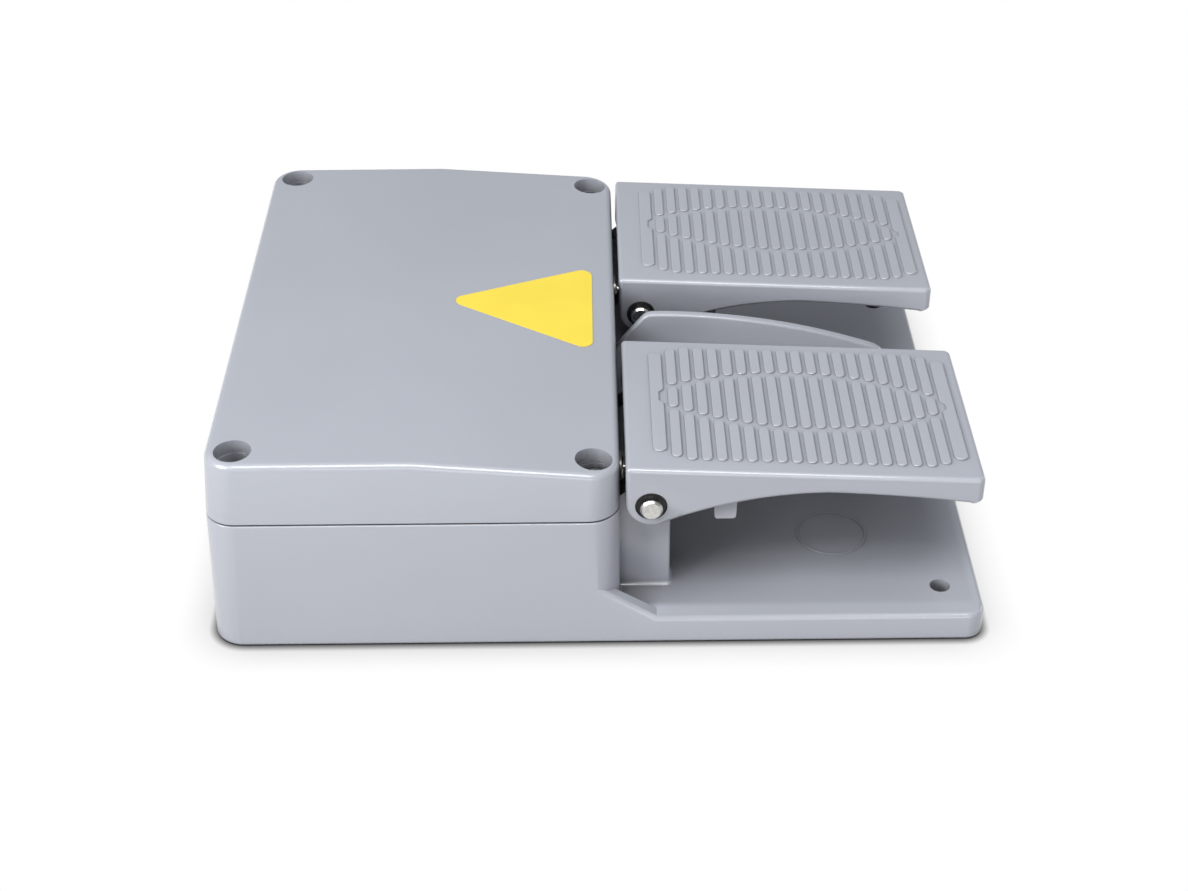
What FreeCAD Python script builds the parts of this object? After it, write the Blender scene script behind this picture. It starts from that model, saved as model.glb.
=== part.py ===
import FreeCAD, Part
import math
import os
import Sketcher

# Double foot switch: a cast housing with a lid, and two hinged pedals that push two switches inside.
# Frame: +X runs from the housing to the pedal tips, +Z is up, and the origin is on the floor at the middle.

doc = FreeCAD.newDocument("double_foot_switch")
sheet = doc.addObject("Spreadsheet::Sheet", "Sizes")
subparts = []


class Size:
    """A size with two faces: a number to draw with, and the sheet expression that it stays bound to."""

    def __init__(self, number, expression):
        self.number = float(number)
        self.expression = expression

    def __add__(self, other):
        other = size_of(other)
        return Size(self.number + other.number, f"({self.expression} + {other.expression})")

    def __sub__(self, other):
        other = size_of(other)
        return Size(self.number - other.number, f"({self.expression} - {other.expression})")

    def __mul__(self, other):
        other = size_of(other)
        return Size(self.number * other.number, f"({self.expression} * {other.expression})")

    def __truediv__(self, other):
        other = size_of(other)
        return Size(self.number / other.number, f"({self.expression} / {other.expression})")

    def __neg__(self):
        return Size(-self.number, f"(0 - {self.expression})")

    def __radd__(self, other):
        return size_of(other) + self

    def __rsub__(self, other):
        return size_of(other) - self

    def __rmul__(self, other):
        return size_of(other) * self


def size_of(amount):
    """The amount as a Size, so that plain numbers such as 2 or 0.5 can stand in a formula."""
    return amount if isinstance(amount, Size) else Size(amount, repr(float(amount)))


def size(name, number):
    """A driving dimension, in millimetres or degrees, written to the next row of the sheet."""
    row = size.rows = size.rows + 1
    sheet.set(f"A{row}", name)
    sheet.set(f"B{row}", str(number))
    sheet.setAlias(f"B{row}", name)
    return Size(number, f"Sizes.{name}")


size.rows = 0


def sine(angle):
    return Size(math.sin(math.radians(angle.number)), f"sin({angle.expression} * 1 deg)")


def cosine(angle):
    return Size(math.cos(math.radians(angle.number)), f"cos({angle.expression} * 1 deg)")


# Driving dimensions: the whole object
overall_length = size("overall_length", 245)
overall_width = size("overall_width", 206)
housing_depth = size("housing_depth", 129.3)
joint_height = size("joint_height", 45.6)
plate_height = size("plate_height", 9.6)
wall = size("wall", 4)
floor_height = size("floor_height", 5)
rim_inset_side = size("rim_inset_side", 2.5)
rim_inset_rear = size("rim_inset_rear", 1.3)
housing_corner_radius = size("housing_corner_radius", 10)
plate_corner_radius = size("plate_corner_radius", 6)
cast_edge_radius = size("cast_edge_radius", 1.8)
foot_edge_radius = size("foot_edge_radius", 1.2)
foot_fillet_radius = size("foot_fillet_radius", 1.2)
joint_edge_radius = size("joint_edge_radius", 0.5)
joint_gap = size("joint_gap", 0.4)
seam_reach = size("seam_reach", 2)
seam_rise = size("seam_rise", 0.5)
running_gap = size("running_gap", 0.3)
fit_gap = size("fit_gap", 0.05)

# Driving dimensions: lid
lid_rear_height = size("lid_rear_height", 20.5)
lid_ridge_height = size("lid_ridge_height", 20.6)
lid_front_height = size("lid_front_height", 15.6)
lid_ridge_inset = size("lid_ridge_inset", 63.8)
lid_inset_side = size("lid_inset_side", 3.2)
lid_inset_rear = size("lid_inset_rear", 1.2)
lid_wall = size("lid_wall", 3.5)
lid_edge_radius = size("lid_edge_radius", 2.2)
screw_inset_front = size("screw_inset_front", 8)
screw_inset_rear = size("screw_inset_rear", 11.3)
screw_inset_side = size("screw_inset_side", 13.8)
screw_well_radius = size("screw_well_radius", 5.8)
screw_well_step_radius = size("screw_well_step_radius", 5.2)
screw_well_step_depth = size("screw_well_step_depth", 4.5)
lid_flange = size("lid_flange", 5)
lid_screw_radius = size("lid_screw_radius", 2.5)
lid_screw_head_radius = size("lid_screw_head_radius", 4.25)
lid_screw_head_height = size("lid_screw_head_height", 5)
lid_screw_length = size("lid_screw_length", 20)
lid_screw_point = size("lid_screw_point", 0.6)
lid_screw_socket = size("lid_screw_socket", 4)
screw_column_radius = size("screw_column_radius", 7.8)
gasket_inset = size("gasket_inset", 1.2)
gasket_width = size("gasket_width", 1.6)
gasket_height = size("gasket_height", 1.5)

# Driving dimensions: label on the lid
label_side = size("label_side", 54.9)
label_depth = size("label_depth", 50.3)
label_corner_radius = size("label_corner_radius", 3.4)
label_thickness = size("label_thickness", 0.15)
label_inset = size("label_inset", 7.7)

# Driving dimensions: base plate, posts and middle rib
bolt_inset_tip = size("bolt_inset_tip", 12.7)
bolt_inset_side = size("bolt_inset_side", 15.4)
bolt_hole_radius = size("bolt_hole_radius", 3.25)
pad_mark_inset = size("pad_mark_inset", 44.7)
pad_mark_offset = size("pad_mark_offset", 2.5)
pad_mark_radius = size("pad_mark_radius", 11.6)
pad_mark_width = size("pad_mark_width", 0.6)
pad_mark_height = size("pad_mark_height", 0.25)
gusset_height = size("gusset_height", 7.1)
gusset_length = size("gusset_length", 11.6)
gusset_thickness = size("gusset_thickness", 5)
post_thickness = size("post_thickness", 8)
post_radius = size("post_radius", 6.5)
post_shoulder_drop = size("post_shoulder_drop", 3.2)
post_edge_radius = size("post_edge_radius", 0.8)
rib_thickness = size("rib_thickness", 3.2)
rib_edge_radius = size("rib_edge_radius", 0.9)
rib_foot_height = size("rib_foot_height", 45.4)
rib_rear_height = size("rib_rear_height", 49)
rib_rear_reach = size("rib_rear_reach", 1.9)
rib_shoulder_reach = size("rib_shoulder_reach", 10.7)
rib_peak_reach = size("rib_peak_reach", 17.2)
rib_peak_height = size("rib_peak_height", 59.9)
rib_middle_height = size("rib_middle_height", 56)
rib_fall_length = size("rib_fall_length", 16)
rib_fall_height = size("rib_fall_height", 46)
rib_fall_bulge = size("rib_fall_bulge", 4)
rib_inset_tip = size("rib_inset_tip", 9.5)
rib_shoulder_radius = size("rib_shoulder_radius", 5)
rib_bend_radius = size("rib_bend_radius", 8)

# Driving dimensions: pedals and their hinges
pivot_reach = size("pivot_reach", 9.6)
pivot_height = size("pivot_height", 47.5)
pedal_inset_side = size("pedal_inset_side", 8.6)
pedal_inset_tip = size("pedal_inset_tip", 3.6)
pedal_width = size("pedal_width", 74.8)
pedal_rear_rise = size("pedal_rear_rise", 14)
pedal_tip_rise = size("pedal_tip_rise", 8.8)
pedal_tip_depth = size("pedal_tip_depth", 9.2)
pedal_tip_rounding = size("pedal_tip_rounding", 1.4)
pedal_foot_length = size("pedal_foot_length", 4)
pedal_deck = size("pedal_deck", 4)
pedal_wall = size("pedal_wall", 4.5)
arch_shift = size("arch_shift", 3.4)
arch_rise = size("arch_rise", 3.9)
arch_rear_shift = size("arch_rear_shift", 2.7)
arch_rear_rise = size("arch_rear_rise", 0.1)
arch_front_shift = size("arch_front_shift", 2.2)
arch_front_rise = size("arch_front_rise", 2.3)
ear_end_angle = size("ear_end_angle", 65)
pedal_corner_radius = size("pedal_corner_radius", 2.4)
pedal_edge_radius = size("pedal_edge_radius", 1.5)
ear_radius = size("ear_radius", 7.9)
ear_boss_length = size("ear_boss_length", 4)
shaft_radius = size("shaft_radius", 3.5)
shaft_overhang = size("shaft_overhang", 2.6)
shaft_chamfer = size("shaft_chamfer", 0.6)
bush_radius = size("bush_radius", 5)
circlip_seat_radius = size("circlip_seat_radius", 5)
circlip_seat_depth = size("circlip_seat_depth", 2)
circlip_radius = size("circlip_radius", 4.75)
circlip_thickness = size("circlip_thickness", 1)
circlip_groove_depth = size("circlip_groove_depth", 0.5)
hub_width = size("hub_width", 10)
arm_thickness = size("arm_thickness", 7)
arm_drop = size("arm_drop", 18)
lug_reach = size("lug_reach", 20)
lug_width = size("lug_width", 6.6)
lug_depth = size("lug_depth", 5)
lug_drop = size("lug_drop", 8.1)
lug_taper = size("lug_taper", 1)

# Driving dimensions: tread bars on a pedal
bar_pitch = size("bar_pitch", 4.62)
bar_width = size("bar_width", 3.3)
bar_height = size("bar_height", 0.55)
bar_edge_radius = size("bar_edge_radius", 0.4)
end_bar_margin = size("end_bar_margin", 1.1)
cast_root = size("cast_root", 0.5)
tread_inset_rear = size("tread_inset_rear", 11.4)
tread_inset_tip = size("tread_inset_tip", 6.6)
tread_inset_side = size("tread_inset_side", 5.2)
tread_offset = size("tread_offset", 0.7)
end_bar_setback = size("end_bar_setback", 4.1)
second_bar_setback = size("second_bar_setback", 1.5)
lens_shift = size("lens_shift", 0.8)
lens_skew = size("lens_skew", 1)
lens_offset = size("lens_offset", 2.55)
lens_half_width = size("lens_half_width", 15.75)
lens_tip_half_width = size("lens_tip_half_width", 3.6)
lens_gap = size("lens_gap", 1.6)
notch_strip = size("notch_strip", 1.8)

# Driving dimensions: torsion springs
spring_wire_radius = size("spring_wire_radius", 0.9)
spring_coil_radius = size("spring_coil_radius", 5.4)
spring_pitch = size("spring_pitch", 2.4)
spring_turns = size("spring_turns", 3)
spring_deck_reach = size("spring_deck_reach", 16)
spring_wall_drop = size("spring_wall_drop", 19)

# Driving dimensions: plungers and their guides in the front wall
plunger_drop = size("plunger_drop", 12)
plunger_radius = size("plunger_radius", 2.5)
plunger_head_radius = size("plunger_head_radius", 3.6)
plunger_head_length = size("plunger_head_length", 1.8)
plunger_dome_depth = size("plunger_dome_depth", 1.1)
plunger_travel = size("plunger_travel", 2.2)
plunger_inner_length = size("plunger_inner_length", 10.8)
guide_radius = size("guide_radius", 4.5)
guide_flange_radius = size("guide_flange_radius", 5.5)
guide_flange_thickness = size("guide_flange_thickness", 1.6)
guide_nut_across_flats = size("guide_nut_across_flats", 13)
guide_nut_thickness = size("guide_nut_thickness", 3)
seal_radius = size("seal_radius", 3.7)
seal_length = size("seal_length", 1.5)
clip_radius = size("clip_radius", 3.9)
clip_thickness = size("clip_thickness", 0.8)

# Driving dimensions: switches and the plate that carries them
switch_length = size("switch_length", 49.2)
switch_depth = size("switch_depth", 24.2)
switch_thickness = size("switch_thickness", 17.5)
switch_wall = size("switch_wall", 2)
switch_cover_thickness = size("switch_cover_thickness", 3)
switch_screw_spacing = size("switch_screw_spacing", 25.4)
switch_screw_radius = size("switch_screw_radius", 2)
button_radius = size("button_radius", 3)
button_collar_length = size("button_collar_length", 1.5)
button_stand_out = size("button_stand_out", 4)
blade_thickness = size("blade_thickness", 0.5)
blade_width = size("blade_width", 6)
terminal_width = size("terminal_width", 7)
terminal_thickness = size("terminal_thickness", 1)
terminal_length = size("terminal_length", 10)
terminal_spacing = size("terminal_spacing", 15)
terminal_screw_radius = size("terminal_screw_radius", 1.75)
terminal_screw_length = size("terminal_screw_length", 5)
switch_screw_tail = size("switch_screw_tail", 2)
switch_plate_thickness = size("switch_plate_thickness", 2)
plate_screw_radius = size("plate_screw_radius", 2)
plate_screw_length = size("plate_screw_length", 10)
plate_boss_radius = size("plate_boss_radius", 5)
small_head_radius = size("small_head_radius", 3.5)
small_head_height = size("small_head_height", 2.6)
small_head_crown = size("small_head_crown", 0.6)
small_slot_width = size("small_slot_width", 0.8)

# Driving dimensions: cable inlet and earth terminal
inlet_radius = size("inlet_radius", 10)
inlet_height = size("inlet_height", 22)
inlet_boss_radius = size("inlet_boss_radius", 14)
inlet_boss_depth = size("inlet_boss_depth", 5)
inlet_wall_half_width = size("inlet_wall_half_width", 60)
inlet_seam_gap = size("inlet_seam_gap", 0.5)
earth_inset_rear = size("earth_inset_rear", 22.5)
earth_inset_side = size("earth_inset_side", 43)
earth_boss_radius = size("earth_boss_radius", 6)
earth_boss_height = size("earth_boss_height", 8)
earth_screw_radius = size("earth_screw_radius", 2.5)
earth_screw_length = size("earth_screw_length", 10)
earth_washer_radius = size("earth_washer_radius", 5)
earth_washer_thickness = size("earth_washer_thickness", 1)

doc.recompute()

# Places that follow from the driving dimensions
rear_x = -0.5 * overall_length
tip_x = 0.5 * overall_length
front_x = rear_x + housing_depth
half_width = 0.5 * overall_width
rim_half_width = half_width - rim_inset_side
rim_rear_x = rear_x + rim_inset_rear
cavity_rear_x = rim_rear_x + wall
cavity_front_x = front_x - wall
cavity_half_width = rim_half_width - wall
screw_front_x = front_x - screw_inset_front
screw_rear_x = rear_x + screw_inset_rear
screw_y = half_width - screw_inset_side
screw_seat_z = joint_height + lid_flange
lid_ridge_x = front_x - lid_ridge_inset
roof_rear_z = joint_height + lid_rear_height
roof_ridge_z = joint_height + lid_ridge_height
roof_front_z = joint_height + lid_front_height
roof_rise = roof_ridge_z - roof_front_z
roof_run = front_x - lid_ridge_x
label_front_x = front_x - label_inset
gusset_end_x = front_x + gusset_length
post_back_x = front_x - 0.5 * gasket_inset
bolt_x = tip_x - bolt_inset_tip
bolt_y = half_width - bolt_inset_side
pivot_x = front_x + pivot_reach
plunger_z = pivot_height - plunger_drop
pedal_half_width = 0.5 * pedal_width
pedal_center_y = half_width - pedal_inset_side - pedal_half_width
pedal_rear_x = pivot_x - ear_radius
pedal_tip_x = tip_x - pedal_inset_tip
pedal_length = pedal_tip_x - pedal_rear_x
pedal_rear_height = pivot_height + pedal_rear_rise
pedal_tip_height = pivot_height + pedal_tip_rise
deck_slope = (pedal_rear_height - pedal_tip_height) / pedal_length
tread_start_x = pedal_rear_x + tread_inset_rear
tread_end_x = pedal_tip_x - tread_inset_tip
bar_count = 1 + round((tread_end_x - tread_start_x).number / bar_pitch.number)
lens_x = 0.5 * (tread_start_x + tread_end_x) - lens_shift
ear_inner_y = pedal_half_width - pedal_wall
post_outer_y = ear_inner_y - ear_boss_length - 2 * running_gap
post_y = post_outer_y - 0.5 * post_thickness
guide_front_x = front_x + guide_flange_thickness
guide_end_x = cavity_front_x - guide_nut_thickness - 0.5
plunger_head_back_x = guide_front_x + plunger_travel + running_gap
plunger_tip_x = plunger_head_back_x + plunger_head_length
arm_front_x = plunger_tip_x + running_gap
plunger_end_x = cavity_front_x - plunger_inner_length
button_tip_x = plunger_end_x - running_gap
switch_front_x = button_tip_x - button_stand_out
switch_back_x = switch_front_x - switch_depth
switch_top_z = plunger_z + 0.5 * switch_thickness
switch_bottom_z = plunger_z - 0.5 * switch_thickness
switch_plate_z = switch_bottom_z - switch_plate_thickness
plate_boss_front_x = switch_front_x - plate_boss_radius
plate_boss_rear_x = switch_back_x - terminal_length - plate_boss_radius
plate_boss_y = pedal_center_y + 0.5 * switch_length + plate_boss_radius
switch_screw_x = switch_back_x + 2 * switch_wall + 2 * switch_screw_radius
clip_x = guide_end_x - running_gap
earth_x = rear_x + earth_inset_rear
earth_y = half_width - earth_inset_side
past = 1.0
PEDALS = (("near", -pedal_center_y), ("far", pedal_center_y))


def bind(obj, **amounts):
    for name, amount in amounts.items():
        obj.setExpression(name, size_of(amount).expression)


# Directions: a turned or round piece is drawn along its own axis, and then laid along X, Y or Z
ALONG = {
    "x": FreeCAD.Rotation(FreeCAD.Vector(0, 1, 0), 90),
    "y": FreeCAD.Rotation(FreeCAD.Vector(1, 0, 0), -90),
    "z": FreeCAD.Rotation(),
}
TURNED_ALONG = {
    "x": FreeCAD.Rotation(),
    "y": FreeCAD.Rotation(FreeCAD.Vector(0, 0, 1), 90),
    "z": FreeCAD.Rotation(FreeCAD.Vector(0, 1, 0), -90),
}


def place(obj, x, y, z, rotation=None):
    if rotation is not None:
        obj.Placement.Rotation = rotation
    for axis, amount in zip("xyz", (x, y, z)):
        obj.setExpression(f"Placement.Base.{axis}", size_of(amount).expression)
    return obj


# Primitives and booleans


def box(label, x, y, z, length, width, height):
    """A box from its lowest corner."""
    made = doc.addObject("Part::Box", label)
    bind(made, Length=length, Width=width, Height=height)
    return place(made, x, y, z)


def cylinder(label, axis, x, y, z, radius, length):
    """A cylinder that starts at the given point and runs up the named axis."""
    made = doc.addObject("Part::Cylinder", label)
    bind(made, Radius=radius, Height=length)
    return place(made, x, y, z, ALONG[axis])


def hexagon(label, axis, x, y, z, across_flats, length):
    """A six-sided prism, as a nut or the socket of a screw."""
    made = doc.addObject("Part::Prism", label)
    made.Polygon = 6
    bind(made, Circumradius=across_flats / math.sqrt(3), Height=length)
    return place(made, x, y, z, ALONG[axis])


def fuse(label, pieces):
    made = doc.addObject("Part::MultiFuse", label)
    made.Shapes = pieces
    return made


def group(label, pieces):
    """Separate solids that share one node, such as a set of screws."""
    made = doc.addObject("Part::Compound", label)
    made.Links = pieces
    return made


def cut(label, base, tools):
    made = doc.addObject("Part::Cut", label)
    made.Base = base
    made.Tool = tools[0] if len(tools) == 1 else fuse(label + "_tools", tools)
    return made


def common(label, base, tool):
    """The part of the base that lies inside the tool."""
    made = doc.addObject("Part::Common", label)
    made.Base = base
    made.Tool = tool
    return made


def subpart(obj, name):
    """Names an object as a finished sub-part, which is written to its own file."""
    obj.Label = name
    subparts.append(obj)
    return obj


# Sketches and features


def body(label):
    return doc.addObject("PartDesign::Body", label)


def sketch(owner, name, plane, offset=0):
    """A sketch on one of the body's own origin planes, moved along the plane's normal."""
    made = owner.newObject("Sketcher::SketchObject", name)
    support = [feature for feature in owner.Origin.OriginFeatures if feature.Role == plane][0]
    made.AttachmentSupport = [(support, "")]
    made.MapMode = "FlatFace"
    made.setExpression("AttachmentOffset.Base.z", size_of(offset).expression)
    return made


def vector(point):
    return FreeCAD.Vector(size_of(point[0]).number, size_of(point[1]).number, 0)


def fix_point(owner, geometry, end, point):
    """Binds both coordinates of a sketch point to their sizes."""
    for kind, amount in zip(("DistanceX", "DistanceY"), point):
        amount = size_of(amount)
        made = owner.addConstraint(Sketcher.Constraint(kind, -1, 1, geometry, end, amount.number))
        owner.setExpression(f"Constraints[{made}]", amount.expression)


def curve_ends(owner, index):
    """A curve's end numbers in drawing order: an arc drawn clockwise is kept the other way round."""
    curve = owner.Geometry[index]
    clockwise = curve.TypeId == "Part::GeomArcOfCircle" and curve.Axis.z < 0
    return (2, 1) if clockwise else (1, 2)


def outline(owner, points):
    """A closed outline through points in order. A third item in a point is a place that the arc to it passes."""
    first = owner.GeometryCount
    count = len(points)
    for index, point in enumerate(points):
        start = vector(points[index - 1])
        if len(point) == 3:
            owner.addGeometry(Part.Arc(start, vector(point[2]), vector(point)), False)
        else:
            owner.addGeometry(Part.LineSegment(start, vector(point)), False)
    for index, point in enumerate(points):
        curve = first + index
        following = first + (index + 1) % count
        end = curve_ends(owner, curve)[1]
        start = curve_ends(owner, following)[0]
        owner.addConstraint(Sketcher.Constraint("Coincident", curve, end, following, start))
        fix_point(owner, curve, end, point[:2])
    for index, point in enumerate(points):
        if len(point) == 3:
            mark = owner.addGeometry(Part.Point(vector(point[2])), True)
            fix_point(owner, mark, 1, point[2])
            owner.addConstraint(Sketcher.Constraint("PointOnObject", mark, 1, first + index))


def circle(owner, x, y, radius):
    radius = size_of(radius)
    made = owner.addGeometry(Part.Circle(vector((x, y)), FreeCAD.Vector(0, 0, 1), radius.number), False)
    fix_point(owner, made, 3, (x, y))
    kept = owner.addConstraint(Sketcher.Constraint("Radius", made, radius.number))
    owner.setExpression(f"Constraints[{kept}]", radius.expression)


def rectangle(owner, low_x, low_y, high_x, high_y):
    outline(owner, [(low_x, low_y), (high_x, low_y), (high_x, high_y), (low_x, high_y)])


def rounded_rectangle(owner, low_x, low_y, high_x, high_y, radius):
    """A rectangle whose four corners are quarter circles."""
    bend = radius * (1 - math.sqrt(0.5))
    outline(owner, [
        (low_x + radius, low_y, (low_x + bend, low_y + bend)),
        (high_x - radius, low_y),
        (high_x, low_y + radius, (high_x - bend, low_y + bend)),
        (high_x, high_y - radius),
        (high_x - radius, high_y, (high_x - bend, high_y - bend)),
        (low_x + radius, high_y),
        (low_x, high_y - radius, (low_x + bend, high_y - bend)),
        (low_x, low_y + radius),
    ])


def pad(owner, name, profile, length, middle=False):
    made = owner.newObject("PartDesign::Pad", name)
    made.Profile = profile
    made.Midplane = middle
    bind(made, Length=length)
    return made


def pocket(owner, name, profile, depth, middle=False):
    made = owner.newObject("PartDesign::Pocket", name)
    made.Profile = profile
    made.Midplane = middle
    bind(made, Length=depth)
    return made


def edges(feature, test):
    """The names of the feature's edges whose bounding box passes a test."""
    doc.recompute()
    return [f"Edge{number}" for number, edge in enumerate(feature.Shape.Edges, 1) if test(edge.BoundBox)]


def fillet(owner, name, feature, test, radius):
    made = owner.newObject("PartDesign::Fillet", name)
    made.Base = (feature, edges(feature, test))
    bind(made, Radius=radius)
    return made


def close(value, amount):
    return abs(value - size_of(amount).number) < 0.02


def turned(label, points, axis, x, y, z):
    """A lathe-turned piece: points give distance along its axis and radius, and end back at the start."""
    made = body(label)
    section = sketch(made, label + "_section", "XY_Plane")
    outline(section, points)
    turn = made.newObject("PartDesign::Revolution", label + "_turn")
    turn.Profile = section
    turn.ReferenceAxis = (section, ["H_Axis"])
    turn.Angle = 360
    return place(made, x, y, z, TURNED_ALONG[axis])


def tapered_block(owner, name, start_x, length, low_half_width, high_half_width, low_z, height):
    """A block along X whose two long sides lean inwards, as a casting's do to leave the mould."""
    section = sketch(owner, name + "_section", "YZ_Plane", start_x)
    outline(section, [
        (-low_half_width, low_z),
        (low_half_width, low_z),
        (high_half_width, low_z + height),
        (-high_half_width, low_z + height),
    ])
    return pad(owner, name, section, length)


def socket_screw(label, x, y, seat_z):
    """Socket cap screw, pointing down, with the underside of its head at seat_z."""
    blank = turned(label + "_blank", [
        (-lid_screw_length, 0),
        (lid_screw_head_height, 0),
        (lid_screw_head_height, lid_screw_head_radius - lid_screw_point),
        (lid_screw_head_height - lid_screw_point, lid_screw_head_radius),
        (0, lid_screw_head_radius),
        (0, lid_screw_radius),
        (lid_screw_point - lid_screw_length, lid_screw_radius),
        (-lid_screw_length, lid_screw_radius - lid_screw_point),
    ], "z", x, y, seat_z)
    socket = hexagon(label + "_socket", "z", x, y, seat_z + 0.5 * lid_screw_head_height,
                     lid_screw_socket, lid_screw_head_height)
    return cut(label, blank, [socket])


def pan_screw(label, x, y, seat_z, radius, length):
    """Pan head screw with a straight slot, pointing down, with the underside of its head at seat_z."""
    blank = turned(label + "_blank", [
        (-length, 0),
        (small_head_height, 0),
        (small_head_height, small_head_radius - small_head_crown),
        (small_head_height - small_head_crown, small_head_radius),
        (0, small_head_radius),
        (0, radius),
        (-length, radius),
    ], "z", x, y, seat_z)
    slot = box(label + "_slot", x - small_head_radius, y - 0.5 * small_slot_width, seat_z + 0.5 * small_head_height,
               2 * small_head_radius, small_slot_width, small_head_height)
    return cut(label, blank, [slot])


# Base casting


def housing_shell():
    """The box of the base casting: drafted sides, rounded corners, open at the top."""
    made = body("housing_shell")
    tapered_block(made, "housing_block", rear_x, housing_depth, half_width, rim_half_width, size_of(0), joint_height)
    slope = sketch(made, "rear_slope", "XZ_Plane")
    outline(slope, [(rear_x, 0), (rim_rear_x, joint_height), (rear_x - wall, joint_height), (rear_x - wall, 0)])
    leaning = pocket(made, "rear_slope_cut", slope, overall_width, middle=True)
    upright = fillet(made, "housing_corners", leaning, lambda b: b.ZLength > 1, housing_corner_radius)
    foot = fillet(made, "housing_foot_edge", upright, lambda b: close(b.ZMax, 0), foot_edge_radius)
    fillet(made, "housing_rim_edge", foot, lambda b: close(b.ZMin, joint_height), joint_edge_radius)
    hollow = sketch(made, "cavity_outline", "XY_Plane", joint_height)
    rounded_rectangle(hollow, cavity_rear_x, -cavity_half_width, cavity_front_x, cavity_half_width,
                      housing_corner_radius - wall)
    pocket(made, "cavity", hollow, joint_height - floor_height)
    columns = sketch(made, "screw_columns_outline", "XY_Plane", floor_height - past)
    for x in (screw_front_x, screw_rear_x):
        for y in (screw_y, -screw_y):
            circle(columns, x, y, screw_column_radius)
    pad(made, "screw_columns", columns, joint_height - floor_height + past)
    groove = sketch(made, "gasket_groove_outline", "XY_Plane", joint_height)
    gasket_outline(groove)
    pocket(made, "gasket_groove", groove, gasket_height)
    return made


def gasket_outline(owner):
    for inset in (gasket_inset, gasket_inset + gasket_width):
        rounded_rectangle(owner, rim_rear_x + inset, inset - rim_half_width, front_x - inset, rim_half_width - inset,
                          housing_corner_radius - inset)


def floor_plate():
    """The plate under the pedals, with a low web along each side that runs up to the housing."""
    made = body("floor_plate")
    start_x = front_x - housing_corner_radius - wall
    web_slope = gusset_height / gusset_length
    web_top = plate_height + web_slope * (gusset_end_x - start_x)
    web_half_width = half_width - rim_inset_side * web_top / joint_height
    tapered_block(made, "plate_block", start_x, tip_x - start_x, half_width, web_half_width, size_of(0), web_top)
    above = sketch(made, "above_the_plate", "XZ_Plane")
    outline(above, [
        (start_x, web_top),
        (gusset_end_x, plate_height),
        (tip_x + past, plate_height),
        (tip_x + past, web_top + past),
        (start_x, web_top + past),
    ])
    sloped = pocket(made, "above_the_plate_cut", above, overall_width + 2 * past, middle=True)
    corners = fillet(made, "plate_corners", sloped,
                     lambda b: b.XMin > tip_x.number - 1 and b.ZLength > 1, plate_corner_radius)
    foot = fillet(made, "plate_foot_edge", corners,
                  lambda b: close(b.ZMax, 0) and b.XMax > start_x.number + 1, foot_edge_radius)
    fillet(made, "plate_top_edge", foot,
           lambda b: b.ZMin > plate_height.number - 0.1 and b.XMax > gusset_end_x.number - 0.1
           and b.YLength < overall_width.number / 2 + web_slope.number
           or close(b.ZMin, plate_height) and b.XMin > tip_x.number - 1, cast_edge_radius)
    inside = sketch(made, "between_the_webs", "XY_Plane", web_top + past)
    inner = half_width - gusset_thickness - rim_inset_side * plate_height / joint_height
    rectangle(inside, start_x - past, -inner, gusset_end_x + past, inner)
    pocket(made, "between_the_webs_cut", inside, web_top + past - plate_height)
    under = sketch(made, "front_of_the_cavity", "XY_Plane", web_top + past)
    rectangle(under, start_x - past, -cavity_half_width, cavity_front_x, cavity_half_width)
    pocket(made, "front_of_the_cavity_cut", under, web_top + past - floor_height)
    return made


def hinge_post(label, y):
    """Upright lug between the housing and the hinge shaft, round at the top."""
    made = body(label)
    side = sketch(made, label + "_side", "XZ_Plane", -y)
    foot_z = plate_height - past
    nose_x = pivot_x + post_radius
    outline(side, [
        (post_back_x, foot_z),
        (nose_x, foot_z),
        (nose_x, pivot_height),
        (pivot_x - post_radius, pivot_height, (pivot_x, pivot_height + post_radius)),
        (post_back_x, pivot_height - post_shoulder_drop),
    ])
    block = pad(made, label + "_pad", side, post_thickness, middle=True)
    fillet(made, label + "_front_edges", block,
           lambda b: b.YLength < 0.01 and close(b.XMax, nose_x) and b.ZLength > 1, post_edge_radius)
    return made


def middle_rib():
    """Upright web between the two pedals, highest beside the hinges and falling to the plate."""
    made = body("middle_rib")
    side = sketch(made, "middle_rib_side", "XZ_Plane")
    foot_z = plate_height - past
    shoulder_x = front_x + rib_shoulder_reach
    peak_x = front_x + rib_peak_reach
    end_x = tip_x - rib_inset_tip
    fall_x = end_x - rib_fall_length
    fall_middle = (0.5 * (end_x + fall_x) + rib_fall_bulge, 0.5 * (plate_height + rib_fall_height) + rib_fall_bulge)
    outline(side, [
        (post_back_x, foot_z),
        (end_x, foot_z),
        (end_x, plate_height),
        (fall_x, rib_fall_height, fall_middle),
        (peak_x, rib_peak_height, (0.5 * (peak_x + fall_x), rib_middle_height)),
        (shoulder_x, rib_peak_height),
        (front_x + rib_rear_reach, rib_rear_height),
        (post_back_x, rib_foot_height),
    ])
    block = pad(made, "middle_rib_pad", side, rib_thickness, middle=True)
    shoulder = fillet(made, "middle_rib_shoulder", block,
                      lambda b: close(b.XMax, shoulder_x) and close(b.XMin, shoulder_x), rib_shoulder_radius)
    bend = fillet(made, "middle_rib_bend", shoulder,
                  lambda b: close(b.XMax, fall_x) and close(b.XMin, fall_x), rib_bend_radius)
    fillet(made, "middle_rib_edges", bend,
           lambda b: b.YLength < 0.01 and b.ZMax > plate_height.number - 0.1
           and b.XMin > (front_x + rib_rear_reach).number - 0.1, rib_edge_radius)
    return made


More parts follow.
